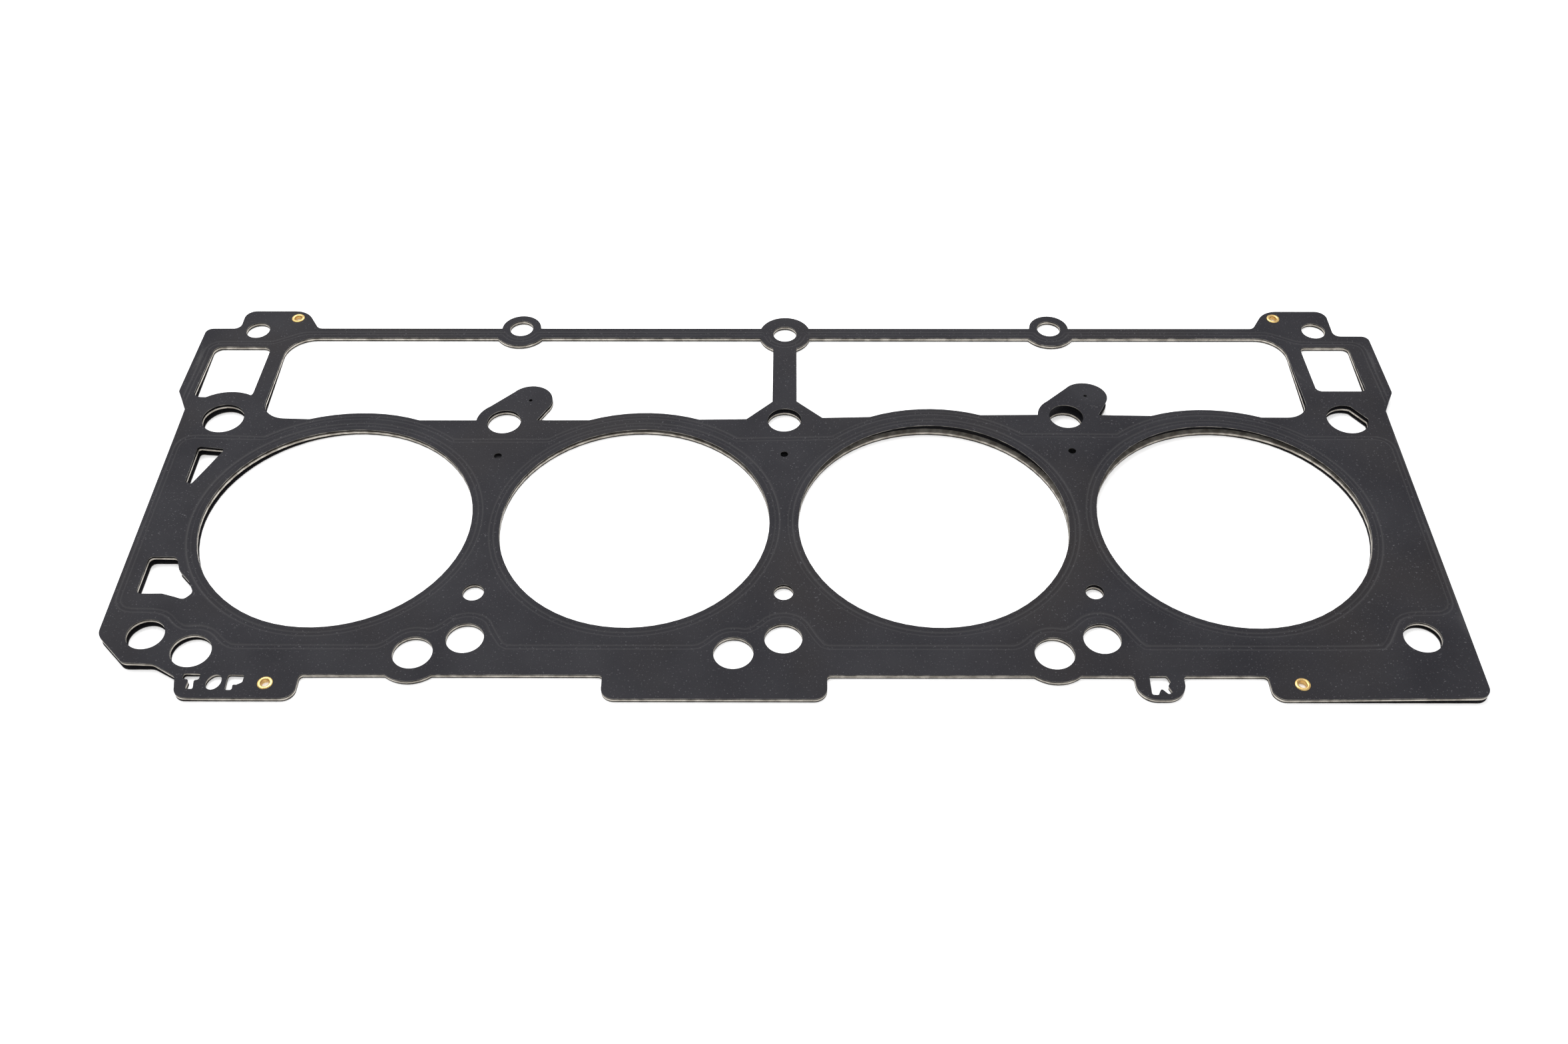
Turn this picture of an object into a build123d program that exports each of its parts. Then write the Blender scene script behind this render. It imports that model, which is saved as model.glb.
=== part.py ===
from build123d import *
import os
from math import cos, radians, sin, sqrt

# Head gasket of layered spring steel for a bank of four cylinders.
# Millimetres. +X runs along the bank, +Y across it towards the rail, +Z up.
# The origin lies on the row of bore axes, midway along the bank, on the face that meets the block.

# Layers, from the block up
bottom_thickness = 0.25
spacer_thickness = 0.75
top_thickness = 0.25
bead_height = 0.35
stopper_thickness = 0.12
stopper_width = 2.2

# Bores and the fasteners of the head
bore_pitch = 113.28
bore_diameter = 102.4
bolt_row = 56.0
bolt_hole_diameter = 13.6
dowel_hole_diameter = 16.6
dowel_flat_reach = 6.9
dowel_flat_angle = 35.0

# Band around the bores
band_half_length = 243.3
front_edge_y = -72.4
window_floor_y = 56.8
bore_land = 9.8

# Wings, which carry the windows at the two ends
wing_half_length = 249.0
wing_foot_y = 67.0
wing_step_y = 61.0
left_shoulder_y = 115.4
right_shoulder_y = 110.6
wing_tab_half_length = 234.4
wing_tab_reach = 31.2
wing_tab_top_y = 127.2

# Rail along the far side
rail_y = 112.4
rail_width = 6.2
rail_hole_diameter = 10.0
inner_rail_hole_y = 115.6
outer_rail_hole_y = 114.3
centre_rail_hole_y = 112.0
rail_boss_radius = 8.3
rail_boss_lower_radius = 11.3
centre_boss_radius = 10.8
strut_width = 9.8

# Windows between the band and the rail
window_half_length = 212.0
window_upper_radius = 12.0
window_lower_radius = 9.5
end_window_inner = 218.3
end_window_left_outer = 242.4
end_window_right_outer = 238.8
end_window_top_y = 103.4
end_window_left_floor_y = 68.8
end_window_right_floor_y = 73.4
end_window_radius = 3.6
dowel_land = 7.4

# Bosses and ears round the upper bolts
upper_boss_radius = 11.4
ear_reach_x = 9.3
ear_reach_y = 12.9
ear_radius = 8.9
ear_hole_diameter = 1.5

# Tabs along the front edge
tab_y = -82.8
tab_radius = 4.6
left_tab_start = -208.0
left_tab_end = -168.8
middle_tab_start = -63.0
middle_tab_end = 15.3
mark_tab_start = 122.2
mark_tab_end = 139.2
mark_tab_radius = 6.8
right_tab_start = 168.8
corner_foot_y = -56.5
corner_flat_y = -69.0
corner_flat_start = -231.0
corner_flat_end = -219.0

# Oil drains, coolant and steam holes
drain_diameter = 14.3
drain_drop = 6.6
drain_offset = 17.6
drain_land = 5.6
coolant_diameters = (7.9, 7.3, 6.8)
coolant_y = -34.6
steam_diameter = 3.1
steam_y = 36.2

# Slots for coolant beside the first bore
bell_left = -235.3
bell_top_y = -19.2
bell_top_right = -225.6
bell_foot_right = -215.6
bell_foot_y = -38.6
bell_floor_y = -37.0
bell_radius = 2.2
kite_left = -232.3
kite_top_y = 39.4
kite_right = -221.2
kite_shoulder_y = 36.0
kite_tip_x = -229.6
kite_tip_y = 18.6
kite_radius = 1.1

# Eyelets that hold the layers together
eyelet_hole_diameter = 3.6
eyelet_bore_diameter = 2.4
eyelet_flange_diameter = 6.2
eyelet_flange_thickness = 0.3
eyelet_clearance = 0.05
eyelet_seat_clearance = 0.2
front_eyelet_x = 179.8
front_eyelet_y = -76.2
rear_eyelet_x = 211.0
rear_eyelet_y = 122.4

# Small corner roundings
edge_fillet = 3.0
notch_fillet = 1.5
overrun = 2.0

# Heights of the layers' lower faces
spacer_z = bottom_thickness + bead_height
top_z = spacer_z + spacer_thickness + bead_height
stack_height = top_z + top_thickness

bore_radius = bore_diameter / 2
rail_top_y = rail_y + rail_width / 2
rail_floor_y = rail_y - rail_width / 2
columns = [bore_pitch * k for k in (-2, -1, 0, 1, 2)]
bore_centres = [bore_pitch * k for k in (-1.5, -0.5, 0.5, 1.5)]
drain_y = -bolt_row - drain_drop
drains = [columns[0] + drain_offset] + [x - drain_offset for x in columns[1:4]]
rail_hole_ys = [outer_rail_hole_y, inner_rail_hole_y, centre_rail_hole_y, inner_rail_hole_y, outer_rail_hole_y]


def disc(x, y, diameter):
    """A round patch."""
    return Pos(x, y) * Circle(diameter / 2)


def patch(left, right, low, high):
    """A rectangular patch between two columns and two rows."""
    return Pos((left + right) / 2, (low + high) / 2) * Rectangle(right - left, high - low)


def rounded(corners):
    """A patch inside a closed outline of corners, each an x, a y and a rounding radius."""
    points = [(x, y) for x, y, radius in corners]
    path = Polyline(*points, close=True)
    patch_face = make_face(path)
    for x, y, radius in corners:
        if radius > 0:
            corner = patch_face.vertices().sort_by_distance((x, y))[0]
            patch_face = fillet(corner, radius)
    return patch_face


def perimeter():
    """The outer edge of a layer, with its tabs, wings and shoulders, before any hole is cut."""
    tab_inner = wing_tab_half_length - wing_tab_reach
    step = wing_half_length - band_half_length
    corners = [
        (-band_half_length, corner_foot_y, edge_fillet * 2),
        (corner_flat_start, corner_flat_y, edge_fillet * 2),
        (corner_flat_end, corner_flat_y - notch_fillet / 2, edge_fillet),
        (left_tab_start - tab_radius, (corner_flat_y + tab_y) / 2, edge_fillet),
        (left_tab_start, tab_y, tab_radius / 2),
        (left_tab_end, tab_y, tab_radius),
        (left_tab_end, front_edge_y, notch_fillet),
        (middle_tab_start, front_edge_y, notch_fillet),
        (middle_tab_start, tab_y, tab_radius),
        (middle_tab_end, tab_y, tab_radius),
        (middle_tab_end, front_edge_y, notch_fillet),
        (mark_tab_start, front_edge_y, notch_fillet),
        (mark_tab_start, tab_y, mark_tab_radius),
        (mark_tab_end, tab_y, mark_tab_radius),
        (mark_tab_end, front_edge_y, notch_fillet),
        (right_tab_start, front_edge_y, notch_fillet),
        (right_tab_start, tab_y, tab_radius),
        (band_half_length, tab_y, tab_radius),
        (band_half_length, wing_step_y, 0),
        (wing_half_length - step / 2, wing_foot_y, edge_fillet),
        (wing_half_length, wing_foot_y + step, edge_fillet),
        (wing_half_length, right_shoulder_y, edge_fillet),
        (wing_tab_half_length, right_shoulder_y, edge_fillet),
        (wing_tab_half_length, wing_tab_top_y, tab_radius),
        (tab_inner + tab_radius, wing_tab_top_y, tab_radius * 2),
        (tab_inner - tab_radius / 2, rail_top_y, edge_fillet),
        (-tab_inner + tab_radius / 2, rail_top_y, edge_fillet),
        (-tab_inner - tab_radius, wing_tab_top_y, tab_radius * 2),
        (-wing_tab_half_length, wing_tab_top_y, tab_radius),
        (-wing_tab_half_length, left_shoulder_y, edge_fillet),
        (-wing_half_length, left_shoulder_y, edge_fillet),
        (-wing_half_length, wing_foot_y + step, edge_fillet),
        (-wing_half_length + step / 2, wing_foot_y, edge_fillet),
        (-band_half_length, wing_step_y, 0),
    ]
    shape = rounded(corners)
    for x, y in zip(columns[1:4:2], rail_hole_ys[1:4:2]):
        shape += disc(x, y, 2 * rail_boss_radius)
    shape += disc(columns[2], centre_rail_hole_y, 2 * centre_boss_radius)
    for x in (drains[1], drains[3]):
        shape += disc(x, drain_y, drain_diameter + 2 * drain_land)
    return shape


def ear(column):
    """The lobe that leans away from an upper bolt."""
    tip_x = column + ear_reach_x
    tip_y = bolt_row + ear_reach_y
    lean = sqrt(ear_reach_x ** 2 + ear_reach_y ** 2)
    across_x = -ear_reach_y / lean
    across_y = ear_reach_x / lean
    web = Polygon(
        (column + upper_boss_radius * across_x, bolt_row + upper_boss_radius * across_y),
        (column - upper_boss_radius * across_x, bolt_row - upper_boss_radius * across_y),
        (tip_x - ear_radius * across_x, tip_y - ear_radius * across_y),
        (tip_x + ear_radius * across_x, tip_y + ear_radius * across_y),
        align=None,
    )
    return web + disc(column, bolt_row, 2 * upper_boss_radius) + disc(tip_x, tip_y, 2 * ear_radius)


def rail_window(side):
    """The long window between the bores and the rail, on the left (-1) or right (+1) half."""
    inner = side * strut_width / 2
    outer = side * window_half_length
    left, right = min(inner, outer), max(inner, outer)
    opening = patch(left, right, window_floor_y, rail_floor_y)
    far = [v for v in opening.vertices() if abs(v.X - outer) < edge_fillet]
    upper = [v for v in far if v.Y > bolt_row + window_lower_radius]
    lower = [v for v in far if v.Y < bolt_row + window_lower_radius]
    opening = fillet(upper, window_upper_radius)
    corner = opening.vertices().sort_by_distance(lower[0].center())[0]
    opening = fillet(corner, window_lower_radius)
    for x in bore_centres:
        if x * side > 0:
            opening -= disc(x, 0, bore_diameter + 2 * bore_land)
    column = columns[2 + side]
    opening -= ear(column)
    lower_bump = disc(column, inner_rail_hole_y, 2 * rail_boss_lower_radius)
    opening -= lower_bump
    opening -= disc(0, centre_rail_hole_y, 2 * centre_boss_radius)
    reach = upper_boss_radius * sqrt(2)
    foot = Polygon(
        (-reach, bolt_row), (0, bolt_row - reach), (reach, bolt_row), (0, bolt_row + reach), align=None
    )
    opening -= foot
    return opening


def end_windows():
    """The two windows beyond the rail windows; the left one bulges round its bolt."""
    left = patch(-end_window_left_outer, -end_window_inner, end_window_left_floor_y, end_window_top_y)
    left = fillet(left.vertices(), end_window_radius)
    left -= disc(columns[0], bolt_row, dowel_hole_diameter + 2 * dowel_land + notch_fillet)
    right = patch(end_window_inner, end_window_right_outer, end_window_right_floor_y, end_window_top_y)
    right = fillet(right.vertices(), end_window_radius * 0.7)
    return left + right


def coolant_slots():
    """The bell-shaped and the kite-shaped slot beside the first bore."""
    bell = rounded([
        (bell_left, bell_top_y, bell_radius),
        (bell_top_right, bell_top_y, bell_radius),
        (bell_foot_right, bell_foot_y, bell_radius),
        (bell_left, bell_floor_y, bell_radius),
    ])
    kite = rounded([
        (kite_left, kite_top_y, kite_radius),
        (kite_right, kite_top_y - kite_radius, kite_radius),
        (kite_right - kite_radius, kite_shoulder_y, kite_radius),
        (kite_tip_x, kite_tip_y, kite_radius / 2),
        (kite_left, kite_tip_y + kite_radius, kite_radius / 2),
    ])
    return bell + kite


def dowel_hole(x):
    """One of the larger upper holes at the ends; the right one has a flat."""
    hole = disc(x, bolt_row, dowel_hole_diameter)
    if x > 0:
        flat = Pos(x, bolt_row) * Rot(0, 0, dowel_flat_angle)
        flat *= Pos(dowel_flat_reach + dowel_hole_diameter / 2, 0)
        hole -= flat * Rectangle(dowel_hole_diameter, dowel_hole_diameter)
    return hole


def fastener_holes():
    """Holes for the head's bolts in two rows and along the rail."""
    holes = dowel_hole(columns[0]) + dowel_hole(columns[4])
    for x in columns:
        holes += disc(x, -bolt_row, bolt_hole_diameter)
    for x in columns[1:4]:
        holes += disc(x, bolt_row, bolt_hole_diameter)
    for x, y in zip(columns, rail_hole_ys):
        holes += disc(x, y, rail_hole_diameter)
    return holes


def oil_and_coolant_holes():
    """Drains beside the lower bolts and graded coolant holes between the bores."""
    holes = disc(drains[0], drain_y, drain_diameter)
    for x in drains[1:]:
        holes += disc(x, drain_y, drain_diameter)
    for x, diameter in zip(columns[1:4], coolant_diameters):
        holes += disc(x, coolant_y, diameter)
    return holes


eyelets = {
    "eyelet_front_left": (-front_eyelet_x, front_eyelet_y),
    "eyelet_front_right": (front_eyelet_x, front_eyelet_y),
    "eyelet_rear_left": (-rear_eyelet_x, rear_eyelet_y),
    "eyelet_rear_right": (rear_eyelet_x, rear_eyelet_y),
}


def plan():
    """The plan that every layer shares."""
    shape = perimeter() - rail_window(-1) - rail_window(1) - end_windows() - coolant_slots()
    shape -= fastener_holes() + oil_and_coolant_holes()
    for x in bore_centres:
        shape -= disc(x, 0, bore_diameter)
    for x, y in eyelets.values():
        shape -= disc(x, y, eyelet_hole_diameter)
    right_ear = (columns[3] + ear_reach_x, bolt_row + ear_reach_y)
    return shape - disc(*right_ear, ear_hole_diameter)


def blind_holes():
    """Steam holes and an ear hole that pierce the top layer alone."""
    holes = disc(columns[0 + 1] + ear_reach_x, bolt_row + ear_reach_y, ear_hole_diameter)
    for x in columns[1:4]:
        holes += disc(x, steam_y, steam_diameter)
    return holes


def layer(sketch, height, thickness):
    """A flat layer with its lower face at a height."""
    return Pos(0, 0, height) * extrude(sketch, thickness)


def bottom_layer(sketch):
    """The lower layer, dished up round each eyelet so that the flange below lies flush."""
    body = layer(sketch, 0, bottom_thickness)
    seat_diameter = eyelet_flange_diameter + 2 * eyelet_seat_clearance
    for x, y in eyelets.values():
        dish = disc(x, y, seat_diameter + 2 * bottom_thickness) - disc(x, y, eyelet_hole_diameter)
        body += layer(dish, 0, eyelet_flange_thickness + bottom_thickness)
        body -= layer(disc(x, y, seat_diameter), -overrun, eyelet_flange_thickness + overrun)
    return body


def stopper_ring(x):
    """The shim welded round a bore on the spacer's upper face."""
    ring = Circle(bore_radius + stopper_width) - Circle(bore_radius)
    return Pos(x, 0, spacer_z + spacer_thickness) * extrude(ring, stopper_thickness)


def eyelet(x, y):
    """A brass tube through the layers, rolled over at both ends."""
    flange = eyelet_flange_diameter / 2
    tube = eyelet_hole_diameter / 2 - eyelet_clearance
    bore = eyelet_bore_diameter / 2
    section = Polygon(
        (bore, 0),
        (flange, 0),
        (flange, eyelet_flange_thickness),
        (tube, eyelet_flange_thickness),
        (tube, stack_height),
        (flange, stack_height),
        (flange, stack_height + eyelet_flange_thickness),
        (bore, stack_height + eyelet_flange_thickness),
        align=None,
    )
    return Pos(x, y) * revolve(Plane.XZ * section, Axis.Z)


shared_plan = plan()
pieces = {
    "bottom_layer": bottom_layer(shared_plan),
    "spacer_layer": layer(shared_plan, spacer_z, spacer_thickness),
    "top_layer": layer(shared_plan - blind_holes(), top_z, top_thickness),
}
for number, x in enumerate(bore_centres, 1):
    pieces[f"stopper_ring_{number}"] = stopper_ring(x)
for name, (x, y) in eyelets.items():
    pieces[name] = eyelet(x, y)

os.makedirs("parts", exist_ok=True)
for name, piece in pieces.items():
    export_step(piece, f"parts/{name}.step")
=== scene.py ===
import math

import bmesh
import bpy
import numpy as np
from mathutils import Matrix, Vector
from mathutils.geometry import delaunay_2d_cdt


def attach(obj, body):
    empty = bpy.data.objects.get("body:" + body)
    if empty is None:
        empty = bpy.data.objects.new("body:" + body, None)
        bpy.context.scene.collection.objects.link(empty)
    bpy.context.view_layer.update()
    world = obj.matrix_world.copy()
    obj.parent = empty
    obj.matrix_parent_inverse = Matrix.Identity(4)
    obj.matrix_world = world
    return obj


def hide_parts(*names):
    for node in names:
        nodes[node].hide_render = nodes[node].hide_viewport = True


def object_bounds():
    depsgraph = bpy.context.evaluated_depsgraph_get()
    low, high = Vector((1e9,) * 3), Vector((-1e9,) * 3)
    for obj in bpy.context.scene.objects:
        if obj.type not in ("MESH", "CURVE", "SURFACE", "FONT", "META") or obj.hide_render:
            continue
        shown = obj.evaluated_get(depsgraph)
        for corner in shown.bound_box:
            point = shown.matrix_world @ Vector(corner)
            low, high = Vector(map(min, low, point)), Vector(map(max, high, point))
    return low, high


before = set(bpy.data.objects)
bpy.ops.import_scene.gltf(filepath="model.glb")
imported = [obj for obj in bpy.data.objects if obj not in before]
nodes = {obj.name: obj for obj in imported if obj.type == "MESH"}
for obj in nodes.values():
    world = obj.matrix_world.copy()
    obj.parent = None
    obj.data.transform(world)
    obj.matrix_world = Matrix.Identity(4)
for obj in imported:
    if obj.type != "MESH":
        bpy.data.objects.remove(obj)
cad_low, cad_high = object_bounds()

# The photograph's camera, in pixels, metres and degrees
IMAGE_WIDTH = 2355
FOCAL_PIXELS = 2368.7
SENSOR_WIDTH = 36.0
CAMERA_PLACE = Vector((0.0026, -0.4114, 0.4370))
CAMERA_TILT = 136.532
CAMERA_YAW = -0.133
CAMERA_TURN = -0.217

# The part's main sizes, in millimetres as in its drawing
MM = 0.001
BORE_PITCH = 113.28
BORES = [BORE_PITCH * k for k in (-1.5, -0.5, 0.5, 1.5)]
BOLT_ROW = 56.0
FRONT_Y = -72.4
RAIL_Y = 112.4
BAND_END = 243.3
WING_END = 249.0
THIN_SHEET = 0.25
SPACER_SHEET = 0.75
SPACER_Z = 0.60
TOP_Z = 1.70
EYELETS = [(-179.8, -76.2), (179.8, -76.2), (-211.0, 122.4), (211.0, 122.4)]

# Embossed beads: the half profile and the lines that they follow
BEAD_HEIGHT = 0.35
BEAD_HALF_WIDTH = 1.5
BORE_BEAD_RADIUS = 54.2
SEAL_BEAD_RADIUS = 58.5
SEAL_ROW = 45.0
SEAL_FRONT_Y = -60.0
SEAL_END = 240.9
SEAL_CORNER = 6.0
SEAL_SOFTNESS = 7
COLUMNS = [BORE_PITCH * k for k in (-2, -1, 0, 1, 2)]
DRAINS = [(-208.96, -62.6), (-130.88, -62.6), (-17.6, -62.6), (95.68, -62.6)]
BOLT_DETOUR = 11.0
DRAIN_DETOUR = 10.8
SEAL_DETOURS = [(x, -BOLT_ROW, BOLT_DETOUR) for x in COLUMNS] + [(x, y, DRAIN_DETOUR) for x, y in DRAINS]
RAIL_HOLES = [(-113.28, 115.6), (0.0, 112.0), (113.28, 115.6)]
RAIL_BEAD_RADIUS = 7.8
WING_BEAD_Y = 106.2
WING_BEAD_END = 245.4
WING_BEAD_FOOT = 67.0
WING_BEAD_RADIUS = 5.0
RAIL_BEND = 218.3
RAIL_STEP = 12.0
RAIL_STEP_RADIUS = 8.0
DISH_RADIUS = 3.3
DISH_HEIGHT = 0.3

# The stencilled marks on the front tabs, as corners and their rounding
MARK_T = [
    (-208.7, -72.4), (-202.9, -72.4), (-203.1, -74.9), (-204.7, -75.3), (-204.1, -79.1),
    (-206.8, -79.1), (-206.6, -75.1), (-208.9, -74.6),
]
MARK_P = [
    (-193.4, -72.5), (-187.7, -72.7), (-187.7, -75.9), (-189.6, -77.0), (-190.9, -76.9),
    (-190.6, -79.3), (-193.1, -79.3),
]
MARK_R = [
    (127.3, -72.6), (133.4, -72.6), (134.3, -75.3), (133.2, -76.9), (134.4, -79.6), (132.9, -80.6),
    (130.6, -77.8), (129.4, -80.8), (127.1, -80.7),
]
MARK_ROUNDING = 0.8
MARK_P_ROUNDING = 0.9
MARK_O_CENTRE = (-197.7, -75.9)
MARK_O_HALF_WIDTH = 2.6
MARK_O_HALF_HEIGHT = 3.3
MARK_O_LEAN = 0.35
MARK_O_POINTS = 28
MARK_CLEARANCE = 0.4

# The slot beside the first bore, and where the CAD outline of it lies
BELL_SLOT = [
    (-235.3, -19.2), (-225.0, -19.2), (-222.6, -25.5), (-217.8, -30.6), (-214.8, -36.2),
    (-217.4, -39.6), (-221.0, -38.4), (-225.8, -37.0), (-235.3, -37.3),
]
BELL_ROUNDING = 2.2
BELL_EAST = -214.0
BELL_SOUTH = -41.0
BELL_NORTH = -18.0

# The step of the outer edge from the left front corner to the tab, as (x, y, radius)
STEP_PATH = [
    (-236.9, -63.0, 0), (-231.0, -69.0, 4.0), (-220.4, -69.0, 4.5), (-211.6, -74.0, 2.6),
    (-209.8, -82.8, 4.2), (-196.5, -82.8, 0),
]
STEP_POINT_STEP = 0.6
STEP_EAST = -196.0
STEP_NORTH = -63.0

# Rolled brass eyelets
LIP_RADIUS = 2.75
LIP_THICKNESS = 0.34
TUBE_RADIUS = 1.72
TUBE_WALL = 0.24

# How far the unclamped layers have sprung apart
REST_SPRING = 0.7
CROWN_HEIGHT = 3.3
CROWN_X = 105.0
CROWN_SPREAD = 102.0
CROWN_REAR = 106.4
END_SPRING_LEFT = 2.1
END_SPRING_RIGHT = 1.2
END_SPRING_START = 164.0
END_SPRING_REAR = 108.4
CLAMP_REACH = 34.0

# Meshing
LINE_STEP = 2.0
GRID_STEP = 6.0
EDGE_STEP = 0.5
SHARP_TURN = 0.35
SIDE_SHARE = 0.48
CORNER_POINTS = 5
EYELET_SEGMENTS = 72
LIP_SEGMENTS = 8
CHUNK = 1500

# Stage
FLOOR_HALF_WIDTH = 6.0
FLOOR_GAP = 0.05
FLOOR_GLOW = 0.35
WORLD_STRENGTH = 0.8
LAMP_PLACE = (-0.3, 0.7, 1.3)
LAMP_WIDTH = 1.6
LAMP_DEPTH = 1.0
LAMP_POWER = 20
TINY = 0.0001

# Colours, linear
COAT_COLOUR = (0.0175, 0.0170, 0.0210, 1)
COAT_LIGHT = (0.0260, 0.0255, 0.0300, 1)
COAT_WARM = (0.0240, 0.0215, 0.0225, 1)
# Painted highlight: a lighter coat colour laid on the slopes of the beads
COAT_PAINTED_BEAD_HIGHLIGHT = (0.070, 0.068, 0.070, 1)
COAT_SPECK = (0.085, 0.083, 0.090, 1)
STEEL_COLOUR = (0.50, 0.465, 0.41, 1)
STEEL_SHADE = (0.26, 0.235, 0.20, 1)
THIN_EDGE_COLOUR = (0.20, 0.185, 0.165, 1)
THIN_EDGE_SHADE = (0.045, 0.042, 0.040, 1)
BRASS_COLOUR = (0.80, 0.58, 0.24, 1)
BRASS_DULL = (0.52, 0.34, 0.13, 1)
FLOOR_COLOUR = (1, 1, 1, 1)


def arc(centre, radius, start, end, step=LINE_STEP):
    """Points along an arc, its angles in degrees."""
    span = math.radians(end - start)
    count = max(3, math.ceil(abs(span) * radius / step))
    turns = [math.radians(start) + span * i / count for i in range(count + 1)]
    return [(centre[0] + radius * math.cos(t), centre[1] + radius * math.sin(t)) for t in turns]


def straight(start, end, step=LINE_STEP):
    """Points along a straight run, its end left out."""
    count = max(1, math.ceil(math.dist(start, end) / step))
    return [tuple(a + (b - a) * i / count for a, b in zip(start, end)) for i in range(count)]


def rounded_path(corners, step=LINE_STEP):
    """An open run of points through corners given as (x, y, radius)."""
    points = [corners[0][:2]]
    for before, corner, after in zip(corners, corners[1:], corners[2:]):
        here = Vector(corner[:2])
        back = (Vector(before[:2]) - here).normalized()
        ahead = (Vector(after[:2]) - here).normalized()
        half = back.angle(ahead) / 2
        setback = corner[2] / math.tan(half)
        first = here + back * setback
        centre = here + (back + ahead).normalized() * (corner[2] / math.sin(half))
        start = math.degrees(math.atan2(*reversed(first - centre)))
        last = here + ahead * setback
        end = math.degrees(math.atan2(*reversed(last - centre)))
        turn = (end - start + 180) % 360 - 180
        points += straight(points[-1], tuple(first), step)[1:]
        points += arc(centre, corner[2], start, start + turn, step)
    return points + straight(points[-1], corners[-1][:2], step)[1:] + [corners[-1][:2]]


def front_seal(x):
    """Where the sealing bead runs along the front, passing inside the bolt and drain holes."""
    if abs(x) > COLUMNS[-1]:
        return -SEAL_ROW
    y = SEAL_FRONT_Y
    for hole_x, hole_y, reach in SEAL_DETOURS:
        if abs(x - hole_x) < reach:
            y = max(y, hole_y + math.sqrt(reach ** 2 - (x - hole_x) ** 2))
    return y


def seal_line():
    """The closed bead round all four bores, with the coolant holes inside it."""
    reach = math.degrees(math.acos(SEAL_ROW / SEAL_BEAD_RADIUS))
    side = SEAL_END - SEAL_CORNER
    upper = arc((-side, SEAL_ROW - SEAL_CORNER), SEAL_CORNER, 180, 90)
    for x in BORES:
        bulge = arc((x, 0), SEAL_BEAD_RADIUS, 90 + reach, 90 - reach)
        upper += straight(upper[-1], bulge[0])[1:] + bulge
    corner = arc((side, SEAL_ROW - SEAL_CORNER), SEAL_CORNER, 90, 0)
    upper += straight(upper[-1], corner[0])[1:] + corner
    xs = np.arange(side, -side, -1.0)
    ys = np.array([front_seal(x) for x in xs])
    soft = np.ones(SEAL_SOFTNESS) / SEAL_SOFTNESS
    ys = np.convolve(np.pad(ys, SEAL_SOFTNESS // 2, mode="edge"), soft, mode="valid")
    lower = arc((side, SEAL_CORNER - SEAL_ROW), SEAL_CORNER, 0, -90)
    lower += list(zip(xs[1:-1:2], ys[1:-1:2]))
    lower += arc((-side, SEAL_CORNER - SEAL_ROW), SEAL_CORNER, -90, -180)
    line = upper + straight(upper[-1], lower[0])[1:] + lower
    return line + straight(line[-1], line[0])[1:] + [line[0]]


def rail_line():
    """The open bead over the end windows and along the rail, dipping below its bolt holes."""
    bend = RAIL_BEND - RAIL_STEP
    line = rounded_path([
        (-WING_BEAD_END, WING_BEAD_FOOT, 0),
        (-WING_BEAD_END, WING_BEAD_Y, WING_BEAD_RADIUS),
        (-RAIL_BEND, WING_BEAD_Y, RAIL_STEP_RADIUS),
        (-bend, RAIL_Y, RAIL_STEP_RADIUS),
        (-bend + RAIL_STEP, RAIL_Y, 0),
    ])
    for x, y in RAIL_HOLES:
        drop = RAIL_Y - y
        reach = math.sqrt(RAIL_BEAD_RADIUS ** 2 - drop ** 2)
        side = math.degrees(math.atan2(drop, reach))
        dip = arc((x, y), RAIL_BEAD_RADIUS, 180 - side, 360 + side)
        line += straight(line[-1], dip[0])[1:] + dip
    ahead = rounded_path([
        (bend - RAIL_STEP, RAIL_Y, 0),
        (bend, RAIL_Y, RAIL_STEP_RADIUS),
        (RAIL_BEND, WING_BEAD_Y, RAIL_STEP_RADIUS),
        (WING_BEAD_END, WING_BEAD_Y, WING_BEAD_RADIUS),
        (WING_BEAD_END, WING_BEAD_FOOT, 0),
    ])
    return line + straight(line[-1], ahead[0])[1:] + ahead


def rounded_ring(corners, radius):
    """A closed outline through corners, each of them rounded as far as its sides allow."""
    points = []
    for before, corner, after in zip(corners[-1:] + corners, corners, corners[1:] + corners[:1]):
        here, back, ahead = Vector(corner), Vector(before) - Vector(corner), Vector(after) - Vector(corner)
        half = back.angle(ahead) / 2
        room = SIDE_SHARE * min(back.length, ahead.length)
        setback = min(radius / math.tan(half), room)
        first = here + back.normalized() * setback
        last = here + ahead.normalized() * setback
        for i in range(CORNER_POINTS + 1):
            t = i / CORNER_POINTS
            points.append(tuple(first * (1 - t) ** 2 + here * 2 * t * (1 - t) + last * t ** 2))
    return points


def letter_outlines(grow):
    """The stencilled marks TOP and R, each one hole with soft corners, drawn larger by grow."""
    o_x, o_y = MARK_O_CENTRE
    mark_o = []
    for i in range(MARK_O_POINTS):
        a = 2 * math.pi * i / MARK_O_POINTS
        x = o_x + MARK_O_HALF_WIDTH * math.cos(a) + MARK_O_LEAN * math.sin(a)
        mark_o.append((x, o_y + MARK_O_HALF_HEIGHT * math.sin(a)))
    outlines = [
        rounded_ring(MARK_T, MARK_ROUNDING),
        rounded_ring(MARK_P, MARK_P_ROUNDING),
        rounded_ring(MARK_R, MARK_ROUNDING),
        mark_o,
    ]
    rings = []
    for ring in outlines:
        x = sum(point[0] for point in ring) / len(ring)
        y = sum(point[1] for point in ring) / len(ring)
        wide = 1 + 2 * grow / (max(point[0] for point in ring) - min(point[0] for point in ring))
        rings.append([(x + (px - x) * wide, y + (py - y) * wide) for px, py in ring])
    return rings


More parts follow.
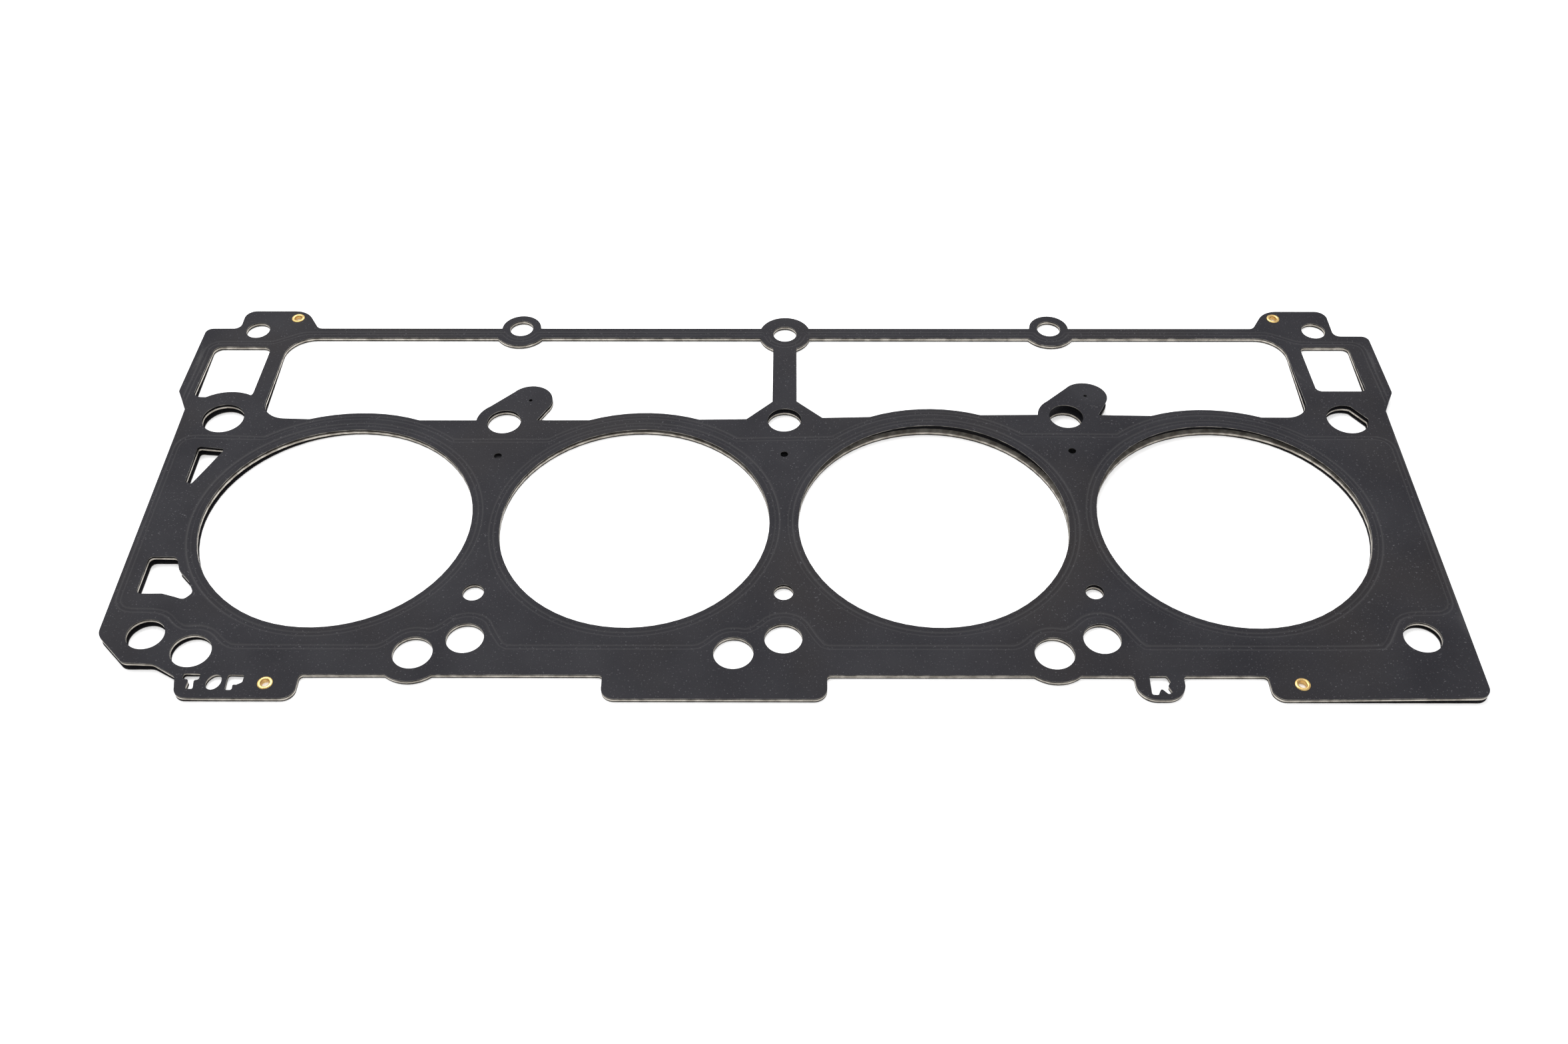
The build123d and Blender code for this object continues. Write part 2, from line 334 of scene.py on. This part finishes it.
def stepped_corner(ring):
    """The outer edge, with the step between its left front corner and the tab of the mark."""
    inside = [x < STEP_EAST and y < STEP_NORTH for x, y in ring]
    first = next(i for i, here in enumerate(inside) if here and not inside[i - 1])
    ring = ring[first:] + ring[:first]
    last = next(i for i, (x, y) in enumerate(ring) if not (x < STEP_EAST and y < STEP_NORTH))
    return rounded_path(STEP_PATH, STEP_POINT_STEP) + ring[last:]


def plan_loops(node, grow):
    """A sheet's outlines from its CAD node, with the marks and the fuller slot and corner."""
    loops = []
    for ring in edge_loops(nodes[node]):
        xs = [x for x, y in ring]
        ys = [y for x, y in ring]
        if max(xs) - min(xs) > 2 * BAND_END:
            loops.append(stepped_corner(ring))
        elif max(xs) < BELL_EAST and BELL_SOUTH < min(ys) and max(ys) < BELL_NORTH:
            loops.append(rounded_ring(BELL_SLOT, BELL_ROUNDING))
        else:
            loops.append(ring)
    return loops + letter_outlines(grow)


def edge_loops(piece):
    """The outlines of a flat sheet's upper face, each in order, in millimetres."""
    mesh = bmesh.new()
    mesh.from_mesh(piece.data)
    bmesh.ops.remove_doubles(mesh, verts=mesh.verts, dist=TINY * MM)
    high = max(v.co.z for v in mesh.verts)
    upper = {f for f in mesh.faces if all(abs(v.co.z - high) < TINY * MM for v in f.verts)}
    ahead = {}
    for face in [f for f in mesh.faces if f in upper]:
        for side in face.loops:
            others = [f for f in side.edge.link_faces if f is not face]
            if not any(f in upper for f in others):
                ahead[side.vert.index] = side.link_loop_next.vert.index
    place = {v.index: (v.co.x / MM, v.co.y / MM) for v in mesh.verts}
    loops = []
    while ahead:
        start, here = ahead.popitem()
        ring = [start]
        while here != start:
            ring.append(here)
            here = ahead.pop(here)
        loops.append(thinned([place[i] for i in ring]))
    mesh.free()
    return loops


def thinned(ring):
    """The ring without points that crowd the one before on a gentle bend."""
    kept = [ring[0]]
    for before, point, after in zip(ring, ring[1:], ring[2:] + ring[:1]):
        into = Vector((point[0] - before[0], point[1] - before[1]))
        out = Vector((after[0] - point[0], after[1] - point[1]))
        sharp = into.length > 0 and out.length > 0 and into.angle(out) > SHARP_TURN
        if sharp or math.dist(kept[-1], point) >= EDGE_STEP:
            kept.append(point)
    return kept


def crossings(points, edges):
    """How often a line to the right of each point crosses the edges, as odd or even."""
    inside = np.zeros(len(points), bool)
    ax, ay, bx, by = edges.T
    rise = by - ay
    rise[rise == 0] = 1e-12
    for first in range(0, len(points), CHUNK):
        x = points[first:first + CHUNK, 0:1]
        y = points[first:first + CHUNK, 1:2]
        spans = (ay > y) != (by > y)
        hits = spans & (x < ax + (y - ay) * (bx - ax) / rise)
        inside[first:first + CHUNK] = hits.sum(axis=1) % 2 == 1
    return inside


def distance_to(points, lines):
    """The distance from each point to the nearest point of any of the lines."""
    nearest = np.full(len(points), 1e9)
    for line in lines:
        a = np.array(line[:-1])
        b = np.array(line[1:])
        run = b - a
        length = np.maximum((run ** 2).sum(axis=1), 1e-12)
        for first in range(0, len(points), CHUNK):
            p = points[first:first + CHUNK, None, :]
            share = np.clip(((p - a) * run).sum(axis=2) / length, 0, 1)
            gap = np.sqrt(((p - a - run * share[..., None]) ** 2).sum(axis=2)).min(axis=1)
            nearest[first:first + CHUNK] = np.minimum(nearest[first:first + CHUNK], gap)
    return nearest


def beside(line, shift):
    """A line drawn at one side of another."""
    points = np.array(line)
    along = np.gradient(points, axis=0)
    along /= np.maximum(np.linalg.norm(along, axis=1), 1e-9)[:, None]
    return points + shift * np.stack([-along[:, 1], along[:, 0]], axis=1)


def end_lift(x, y):
    """How far the spacer stands off the bottom sheet, in millimetres."""
    height = np.where(x < 0, END_SPRING_LEFT, END_SPRING_RIGHT)
    along = np.clip((np.abs(x) - END_SPRING_START) / (BAND_END - END_SPRING_START), 0, 1)
    across = np.clip((END_SPRING_REAR - y) / (END_SPRING_REAR - BOLT_ROW), 0, 1)
    return height * np.sin(np.pi / 2 * along) ** 2 * np.sin(np.pi / 2 * across) ** 2 * clamp(x, y)


def crown(x, y):
    """How far the top sheet stands off the spacer, in millimetres."""
    hump = np.exp(-((x - CROWN_X) / CROWN_SPREAD) ** 2)
    front = np.clip((y - FRONT_Y) / (BOLT_ROW - FRONT_Y), 0, 1)
    rear = np.clip((CROWN_REAR - y) / (CROWN_REAR - BOLT_ROW), 0, 1)
    across = np.where(y < BOLT_ROW, front, rear)
    return (REST_SPRING + CROWN_HEIGHT * hump) * np.sin(np.pi / 2 * across) ** 2 * clamp(x, y)


def clamp(x, y):
    """A share that falls to nought at the eyelets, which hold the sheets together."""
    share = np.ones_like(x)
    for ex, ey in EYELETS:
        share *= 1 - np.exp(-(((x - ex) ** 2 + (y - ey) ** 2) / CLAMP_REACH ** 2) ** 2)
    return share


def emboss(points, lines):
    """The height of the beads at each point."""
    gap = np.clip(distance_to(points, lines) / BEAD_HALF_WIDTH, 0, 1)
    return BEAD_HEIGHT * (0.5 + 0.5 * np.cos(np.pi * gap))


def dishes(points):
    """The rise of the bottom sheet over the eyelets' lower flanges."""
    gap = np.full(len(points), 1e9)
    for x, y in EYELETS:
        gap = np.minimum(gap, np.hypot(points[:, 0] - x, points[:, 1] - y))
    return DISH_HEIGHT * np.clip((DISH_RADIUS + THIN_SHEET - gap) / THIN_SHEET, 0, 1)


def triangulate(loops, lines, rings):
    """Points and triangles of a sheet's plan, dense along its beads."""
    points, edges = [], []

    def run(path, closed):
        first = len(points)
        points.extend(Vector(p) for p in path)
        edges.extend((first + i, first + i + 1) for i in range(len(path) - 1))
        if closed:
            edges.append((first + len(path) - 1, first))

    for loop in loops:
        run(loop, True)
    for line in lines:
        for share in (-1, -0.5, 0, 0.5, 1):
            points.extend(Vector(p) for p in beside(line, share * BEAD_HALF_WIDTH))
    for ring in rings:
        run(ring, True)
    taken = np.array([tuple(p) for p in points])
    outline = np.array([(*a, *b) for loop in loops for a, b in zip(loop, loop[1:] + loop[:1])])
    xs = np.arange(-WING_END, WING_END, GRID_STEP)
    ys = np.arange(taken[:, 1].min(), taken[:, 1].max(), GRID_STEP)
    grid = np.array([(x, y) for x in xs for y in ys])
    grid = grid[crossings(grid, outline)]
    clear = [np.min(np.hypot(*(taken - g).T)) > GRID_STEP / 3 for g in grid]
    points.extend(Vector(g) for g, free in zip(grid, clear) if free)
    plan, _, faces, *_ = delaunay_2d_cdt(points, edges, [], 0, TINY)
    plan = np.array([tuple(p) for p in plan])
    faces = np.array(faces)
    centres = plan[faces].mean(axis=1)
    return plan, faces[crossings(centres, outline)]


def make_sheet(name, node, low, thickness, rise, lines, rings, loops):
    """A thin sheet in place of a CAD node, coated on its faces and bare at its cut edges."""
    plan, faces = triangulate(loops, lines, rings)
    used = np.unique(faces)
    order = np.full(len(plan), -1)
    order[used] = np.arange(len(used))
    plan, faces = plan[used], order[faces]
    height = rise(plan)
    under = np.column_stack([plan, low + height]) * MM
    over = under + (0, 0, thickness * MM)
    count = len(plan)
    sides = np.concatenate([faces[:, [0, 1]], faces[:, [1, 2]], faces[:, [2, 0]]])
    known = {(a, b) for a, b in sides.tolist()}
    rim = [(a, b) for a, b in known if (b, a) not in known]
    skin = (faces + count).tolist() + faces[:, ::-1].tolist()
    walls = [(a, b, b + count, a + count) for a, b in rim]
    mesh = bpy.data.meshes.new(name)
    mesh.from_pydata(np.concatenate([under, over]).tolist(), [], skin + walls)
    mesh.polygons.foreach_set("material_index", [0] * len(skin) + [1] * len(walls))
    mesh.polygons.foreach_set("use_smooth", [True] * len(mesh.polygons))
    mesh.set_sharp_from_angle(angle=math.radians(40))
    mesh.update()
    piece = bpy.data.objects.new(name, mesh)
    bpy.context.scene.collection.objects.link(piece)
    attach(piece, "root")
    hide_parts(node)
    return piece


def sprung_ring(node):
    """A stopper ring that follows the spacer's lift."""
    source = nodes[node]
    mesh = source.data.copy()
    co = np.empty(len(mesh.vertices) * 3)
    mesh.vertices.foreach_get("co", co)
    co = co.reshape(-1, 3)
    co[:, 2] += end_lift(co[:, 0] / MM, co[:, 1] / MM) * MM
    mesh.vertices.foreach_set("co", co.ravel())
    mesh.update()
    piece = bpy.data.objects.new(node.replace("stopper", "bore"), mesh)
    bpy.context.scene.collection.objects.link(piece)
    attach(piece, "root")
    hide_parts(node)
    return piece


def make_eyelet(node, x, y):
    """A brass tube with a rounded lip rolled over at both ends."""
    high = TOP_Z + THIN_SHEET
    lip_middle = (LIP_RADIUS + TUBE_RADIUS - TUBE_WALL) / 2
    half = (LIP_RADIUS - TUBE_RADIUS + TUBE_WALL) / 2
    turns = [math.pi * i / LIP_SEGMENTS for i in range(LIP_SEGMENTS + 1)]
    roll = [(lip_middle - half * math.cos(t), math.sin(t)) for t in turns]
    upper = [(r, high + LIP_THICKNESS * rise) for r, rise in roll]
    lower = [(r, DISH_HEIGHT * (1 - rise)) for r, rise in reversed(roll)]
    section = upper + [(TUBE_RADIUS, high), (TUBE_RADIUS, DISH_HEIGHT)] + lower
    points, faces = [], []
    for i in range(EYELET_SEGMENTS):
        a = 2 * math.pi * i / EYELET_SEGMENTS
        points += [((x + r * math.cos(a)) * MM, (y + r * math.sin(a)) * MM, z * MM) for r, z in section]
    size = len(section)
    for i in range(EYELET_SEGMENTS):
        here, ahead = i * size, (i + 1) % EYELET_SEGMENTS * size
        for j in range(size):
            faces.append((here + j, ahead + j, ahead + (j + 1) % size, here + (j + 1) % size))
    mesh = bpy.data.meshes.new(node.replace("eyelet", "rolled_eyelet"))
    mesh.from_pydata(points, [], faces)
    mesh.polygons.foreach_set("use_smooth", [True] * len(faces))
    mesh.set_sharp_from_angle(angle=math.radians(50))
    mesh.update()
    made = bmesh.new()
    made.from_mesh(mesh)
    bmesh.ops.recalc_face_normals(made, faces=made.faces)
    made.to_mesh(mesh)
    made.free()
    mesh.materials.append(gold)
    piece = bpy.data.objects.new(mesh.name, mesh)
    bpy.context.scene.collection.objects.link(piece)
    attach(piece, "root")
    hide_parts(node)


def new_material(name):
    """An empty node material with its principled shader."""
    made = bpy.data.materials.new(name)
    made.use_nodes = True
    tree = made.node_tree
    return made, tree, tree.nodes["Principled BSDF"]


def noise(tree, scale, detail):
    """A noise texture in the object's own space."""
    place = tree.nodes.new("ShaderNodeTexCoord")
    texture = tree.nodes.new("ShaderNodeTexNoise")
    texture.inputs["Scale"].default_value = scale
    texture.inputs["Detail"].default_value = detail
    tree.links.new(place.outputs["Object"], texture.inputs["Vector"])
    return texture.outputs["Fac"]


def ramp(tree, value, low, high, first=(0, 0, 0, 1), second=(1, 1, 1, 1)):
    """A value turned into a blend of two colours."""
    made = tree.nodes.new("ShaderNodeValToRGB")
    made.color_ramp.elements[0].position = low
    made.color_ramp.elements[1].position = high
    made.color_ramp.elements[0].color = first
    made.color_ramp.elements[1].color = second
    tree.links.new(value, made.inputs["Fac"])
    return made.outputs["Color"]


def blend(tree, factor, first, second):
    """A mix of two colours, of which the second may be a constant."""
    mix = tree.nodes.new("ShaderNodeMix")
    mix.data_type = "RGBA"
    tree.links.new(factor, mix.inputs["Factor"])
    tree.links.new(first, mix.inputs["A"])
    mix.inputs["B"].default_value = second
    return mix.outputs["Result"]


def bump(tree, shader, value, strength, distance):
    """Fine relief from a value."""
    made = tree.nodes.new("ShaderNodeBump")
    made.inputs["Strength"].default_value = strength
    made.inputs["Distance"].default_value = distance
    tree.links.new(value, made.inputs["Height"])
    tree.links.new(made.outputs["Normal"], shader.inputs["Normal"])


def coated_steel(name):
    """Matt dark rubber coat with fine specks, faint mottling and a painted highlight on the bead slopes.
    """
    material, tree, shader = new_material(name)
    colour = ramp(tree, noise(tree, 38, 4), 0.35, 0.70, COAT_COLOUR, COAT_LIGHT)
    colour = blend(tree, ramp(tree, noise(tree, 14, 3), 0.50, 0.75), colour, COAT_WARM)
    colour = blend(tree, ramp(tree, noise(tree, 1500, 2), 0.64, 0.74), colour, COAT_SPECK)
    # Painted highlight: where the normal tilts away from upright on the bead slopes, the coat is painted
    # lighter
    geometry = tree.nodes.new("ShaderNodeNewGeometry")
    split = tree.nodes.new("ShaderNodeSeparateXYZ")
    upright = tree.nodes.new("ShaderNodeMath")
    upright.operation = "ABSOLUTE"
    slope = tree.nodes.new("ShaderNodeMapRange")
    slope.inputs["From Min"].default_value = 0.992
    slope.inputs["From Max"].default_value = 0.945
    tree.links.new(geometry.outputs["Normal"], split.inputs[0])
    tree.links.new(split.outputs["Z"], upright.inputs[0])
    tree.links.new(upright.outputs[0], slope.inputs["Value"])
    colour = blend(tree, slope.outputs["Result"], colour, COAT_PAINTED_BEAD_HIGHLIGHT)
    tree.links.new(colour, shader.inputs["Base Color"])
    shader.inputs["Roughness"].default_value = 0.6
    shader.inputs["Specular IOR Level"].default_value = 0.10
    bump(tree, shader, noise(tree, 900, 2), 0.25, 0.0002)
    return material


def cut_steel(name, shade, bright):
    """Sheared edge of spring steel, bright with darker streaks."""
    material, tree, shader = new_material(name)
    colour = ramp(tree, noise(tree, 260, 3), 0.40, 0.62, shade, bright)
    tree.links.new(colour, shader.inputs["Base Color"])
    shader.inputs["Metallic"].default_value = 0.55
    shader.inputs["Roughness"].default_value = 0.38
    bump(tree, shader, noise(tree, 1500, 2), 0.2, 0.0001)
    return material


def brass():
    """Rolled brass, brighter where it is smooth."""
    material, tree, shader = new_material("eyelet_brass")
    colour = ramp(tree, noise(tree, 420, 3), 0.38, 0.66, BRASS_DULL, BRASS_COLOUR)
    tree.links.new(colour, shader.inputs["Base Color"])
    shader.inputs["Metallic"].default_value = 0.9
    shader.inputs["Roughness"].default_value = 0.3
    bump(tree, shader, noise(tree, 1200, 2), 0.15, 0.0001)
    return material


def make_floor():
    """A wide white floor that keeps the shadow."""
    mesh = bpy.data.meshes.new("floor")
    half = FLOOR_HALF_WIDTH
    low = cad_low.z - FLOOR_GAP * MM
    corners = [(-half, -half, low), (half, -half, low), (half, half, low), (-half, half, low)]
    mesh.from_pydata(corners, [], [(0, 1, 2, 3)])
    floor = bpy.data.objects.new("floor", mesh)
    bpy.context.scene.collection.objects.link(floor)
    material, tree, shader = new_material("floor_white")
    shader.inputs["Base Color"].default_value = FLOOR_COLOUR
    shader.inputs["Roughness"].default_value = 1
    shader.inputs["Specular IOR Level"].default_value = 0
    shader.inputs["Emission Color"].default_value = FLOOR_COLOUR
    shader.inputs["Emission Strength"].default_value = FLOOR_GLOW
    mesh.materials.append(material)


def make_camera():
    """The camera at the photograph's place, tilt and lens."""
    data = bpy.data.cameras.new("camera")
    data.sensor_fit = "HORIZONTAL"
    data.sensor_width = SENSOR_WIDTH
    data.lens = FOCAL_PIXELS * SENSOR_WIDTH / IMAGE_WIDTH
    camera = bpy.data.objects.new("camera", data)
    bpy.context.scene.collection.objects.link(camera)
    turn = (Matrix.Rotation(math.radians(CAMERA_TILT), 3, "X")
            @ Matrix.Rotation(math.radians(CAMERA_YAW), 3, "Y")
            @ Matrix.Rotation(math.radians(CAMERA_TURN), 3, "Z"))
    to_blender = Matrix.Diagonal((1, -1, -1))
    camera.matrix_world = Matrix.Translation(CAMERA_PLACE) @ (turn.transposed() @ to_blender).to_4x4()
    bpy.context.scene.camera = camera


def make_light():
    """A large soft lamp overhead from behind and a pale world."""
    world = bpy.data.worlds.new("world")
    bpy.context.scene.world = world
    world.use_nodes = True
    background = world.node_tree.nodes["Background"]
    background.inputs["Color"].default_value = (1, 1, 1, 1)
    background.inputs["Strength"].default_value = WORLD_STRENGTH
    data = bpy.data.lights.new("soft_box", "AREA")
    data.shape = "RECTANGLE"
    data.size = LAMP_WIDTH
    data.size_y = LAMP_DEPTH
    data.energy = LAMP_POWER
    lamp = bpy.data.objects.new("soft_box", data)
    bpy.context.scene.collection.objects.link(lamp)
    lamp.location = LAMP_PLACE
    aim = Vector((0, 0, 0)) - lamp.location
    lamp.rotation_euler = aim.to_track_quat("-Z", "Y").to_euler()


coat = coated_steel("coated_sheet")
steel = cut_steel("spacer_edge", STEEL_SHADE, STEEL_COLOUR)
thin_edge = cut_steel("coated_sheet_edge", THIN_EDGE_SHADE, THIN_EDGE_COLOUR)
gold = brass()

bead_lines = [arc((x, 0), BORE_BEAD_RADIUS, 0, 360) for x in BORES] + [seal_line(), rail_line()]
dish_rings = [arc(place, radius, 0, 360, 1.0)[:-1]
              for place in EYELETS for radius in (DISH_RADIUS, DISH_RADIUS + THIN_SHEET)]
shared_loops = plan_loops("spacer_layer", MARK_CLEARANCE)
top_loops = plan_loops("top_layer", 0)

bottom = make_sheet(
    "bottom_sheet", "bottom_layer", 0, THIN_SHEET,
    lambda p: np.maximum(emboss(p, bead_lines), dishes(p)), bead_lines, dish_rings, shared_loops)
spacer = make_sheet(
    "spacer_sheet", "spacer_layer", SPACER_Z, SPACER_SHEET,
    lambda p: end_lift(p[:, 0], p[:, 1]), [], [], shared_loops)
top = make_sheet(
    "top_sheet", "top_layer", TOP_Z, THIN_SHEET,
    lambda p: end_lift(p[:, 0], p[:, 1]) + crown(p[:, 0], p[:, 1]) - emboss(p, bead_lines),
    bead_lines, [], top_loops)
rings = [sprung_ring(f"stopper_ring_{number}") for number in (1, 2, 3, 4)]
sheets = [
    (bottom, thin_edge, "coated_sheet"),
    (spacer, steel, "spacer_sheet"),
    (top, thin_edge, "coated_sheet"),
]
for piece, edge, slot in sheets:
    piece.data.materials.append(coat)
    piece.data.materials.append(edge)
for piece in rings:
    piece.data.materials.clear()
    piece.data.materials.append(steel)
for node, (x, y) in zip(("front_left", "front_right", "rear_left", "rear_right"), EYELETS):
    make_eyelet(f"eyelet_{node}", x, y)

make_floor()
make_camera()
make_light()
bpy.context.scene.view_settings.view_transform = "Standard"
